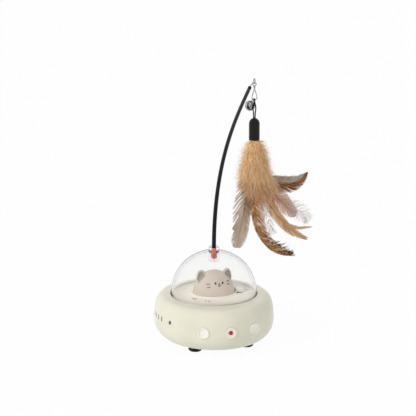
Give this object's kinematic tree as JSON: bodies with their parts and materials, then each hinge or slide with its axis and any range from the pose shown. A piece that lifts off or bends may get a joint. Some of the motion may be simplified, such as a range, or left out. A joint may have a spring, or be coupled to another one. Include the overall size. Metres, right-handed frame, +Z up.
{
  "type": "cat laser toy",
  "caption": "Tabletop cat toy: oval base with a laser port, a turning clear dome over a kitten's head, and a springy wand with a bell and feather lure.",
  "frame": {"origin": "on the floor under the turntable's axis, at the height of the rubber feet's soles", "axes": "+Z up along the turntable's axis, -Y toward the side with the laser port, +X to the right of someone who faces that side"},
  "size_m": [0.1102, 0.1993, 0.2785],
  "materials": {
    "cream_shell": "satin",
    "grey_shell": "matte",
    "foot_rubber": "matte",
    "steel": "bright",
    "brass": "satin",
    "gear_plastic": "matte",
    "cell_sleeve": "gloss",
    "board": "satin",
    "black_plastic": "gloss",
    "laser_red": "gloss",
    "head_taupe": "matte",
    "clear_plastic": "clear",
    "coral_rubber": "satin",
    "wand_black": "satin",
    "bell_metal": "bright",
    "cord": "waxed",
    "down": "fluffy",
    "vane": "soft"
  },
  "bodies": {
    "base": {"main_shell": "cream_shell", "bottom_cover": "cream_shell", "foot_front_left": "foot_rubber", "foot_front_right": "foot_rubber", "foot_rear_left": "foot_rubber", "foot_rear_right": "foot_rubber", "cover_screws": "steel", "deck_bush": "brass", "gear_plate": "grey_shell", "plate_screws": "steel", "motor_can": "steel", "motor_screws": "steel", "idler_axle": "steel", "battery_cell": "cell_sleeve", "circuit_board": "board", "usb_socket": "steel", "tact_switch": "black_plastic", "port_left": "cream_shell", "port_middle": "cream_shell", "port_right": "cream_shell", "laser_lens": "laser_red", "laser_barrel": "brass"},
    "turntable": {"turntable_disc": "cream_shell", "hub_shaft": "steel", "driven_gear": "gear_plastic", "kitten_head": "head_taupe", "head_tab": "cream_shell", "dome": "clear_plastic"},
    "idler": {"idler_gear": "gear_plastic"},
    "pinion": {"motor_pinion": "brass", "motor_shaft": "steel"},
    "button": {"power_button": "cream_shell"},
    "wand": {"wand_plug": "coral_rubber", "wand_rod": "wand_black", "wire_eye": "steel"},
    "snap": {"snap_link": "steel"},
    "lure": {"loop_cord": "cord", "lure_cap": "black_plastic", "down_tuft": "down", "feather_taupe": "vane", "feather_speckled": "vane", "feather_banded": "vane", "feather_mauve": "vane", "feather_dark": "vane", "feather_white": "vane"},
    "bell": {"bell_shell": "bell_metal", "bell_staple": "bell_metal"},
    "pellet": {"bell_pellet": "steel"}
  },
  "joints": [
    {"name": "turntable_spin", "type": "hinge", "parent": "base", "child": "turntable", "pos_m": [0, 0, 0.037], "axis": [0, 0, 1], "continuous": true},
    {"name": "idler_spin", "type": "hinge", "parent": "base", "child": "idler", "pos_m": [-0.02066, 0.00964, 0.0266], "axis": [0, 0, 1], "continuous": true},
    {"name": "motor_spin", "type": "hinge", "parent": "base", "child": "pinion", "pos_m": [-0.01006, 0.02024, 0.0266], "axis": [0, 0, 1], "continuous": true},
    {"name": "power_press", "type": "slide", "parent": "base", "child": "button", "axis": [0, -1, 0], "range_m": [0, 0.0008], "stiffness_N_per_m": 300},
    {"name": "wand_pull", "type": "slide", "parent": "turntable", "child": "wand", "axis": [0, 0, 1], "range_m": [0, 0.0113]},
    {"name": "snap_swing", "type": "hinge", "parent": "wand", "child": "snap", "pos_m": [0, -0.12951, 0.27368], "axis": [0, 1, 0], "range_deg": [-50, 50]},
    {"name": "lure_swing", "type": "hinge", "parent": "snap", "child": "lure", "pos_m": [0, -0.12951, 0.25923], "axis": [1, 0, 0], "range_deg": [-45, 15]},
    {"name": "bell_swing", "type": "hinge", "parent": "lure", "child": "bell", "pos_m": [-0.0012, -0.12951, 0.25957], "axis": [1, 0, 0], "range_deg": [0, 45]},
    {"name": "pellet_rattle", "type": "slide", "parent": "bell", "child": "pellet", "axis": [0.1564, -0.6081, 0.7783], "range_m": [0, 0.003]}
  ],
  "couplings": [
    {"joint": "idler_spin", "follows": "turntable_spin", "ratio": -3.75},
    {"joint": "motor_spin", "follows": "turntable_spin", "ratio": 15}
  ]
}
